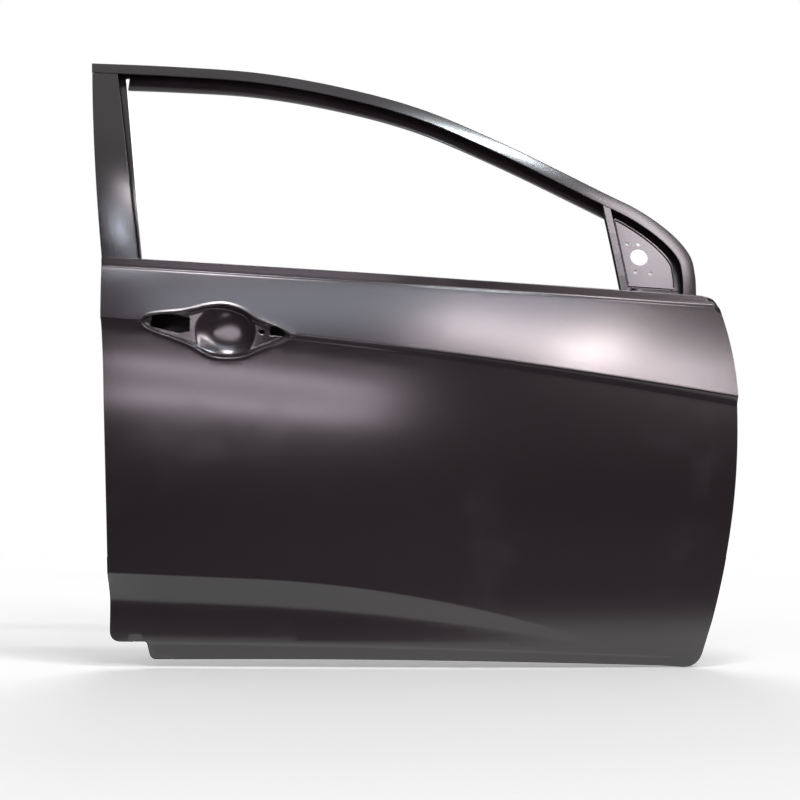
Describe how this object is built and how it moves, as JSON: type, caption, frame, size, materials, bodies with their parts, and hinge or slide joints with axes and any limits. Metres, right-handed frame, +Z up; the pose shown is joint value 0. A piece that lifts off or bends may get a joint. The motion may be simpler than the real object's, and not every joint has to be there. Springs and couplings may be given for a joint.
{
  "type": "car door shell",
  "caption": "Bare pressed-steel front door shell of a small saloon car, with framed window, handle recess, mirror sail and impact beam.",
  "frame": {"origin": "centre of the upper hinge's seat on the front side wall, midway between its two bolt holes", "axes": "+X forward, out of the hinge seat; +Y inboard, from the outer skin to the trim face; +Z up"},
  "size_m": [1.1648, 0.2371, 1.116],
  "materials": {
    "dark_primer": "satin dark primer",
    "zinc_plate": "zinc plate",
    "mastic": "matt"
  },
  "bodies": {
    "root": {"outer_panel": "dark_primer", "inner_panel": "dark_primer", "header_sash": "dark_primer", "pillar_sash": "dark_primer", "division_channel": "dark_primer", "rear_glass_channel": "dark_primer", "sail_plate": "dark_primer", "sail_foot_rail": "dark_primer", "outer_belt_reinforcement": "dark_primer", "inner_belt_reinforcement": "dark_primer", "side_impact_beam": "dark_primer", "beam_front_bracket": "dark_primer", "beam_rear_bracket": "dark_primer", "upper_hinge_reinforcement": "dark_primer", "lower_hinge_reinforcement": "dark_primer", "check_strap_reinforcement": "dark_primer", "latch_reinforcement": "dark_primer", "handle_reinforcement": "dark_primer", "pillar_foot_bracket": "dark_primer", "front_leg_bracket": "dark_primer", "rear_channel_bracket": "dark_primer", "division_channel_bracket": "dark_primer", "upper_hinge_nut_bottom": "zinc_plate", "upper_hinge_nut_top": "zinc_plate", "lower_hinge_nut_bottom": "zinc_plate", "lower_hinge_nut_top": "zinc_plate", "mirror_nut_1": "zinc_plate", "mirror_nut_2": "zinc_plate", "mirror_nut_3": "zinc_plate", "beam_mastic_1": "mastic", "beam_mastic_2": "mastic", "beam_mastic_3": "mastic"}
  },
  "joints": []
}
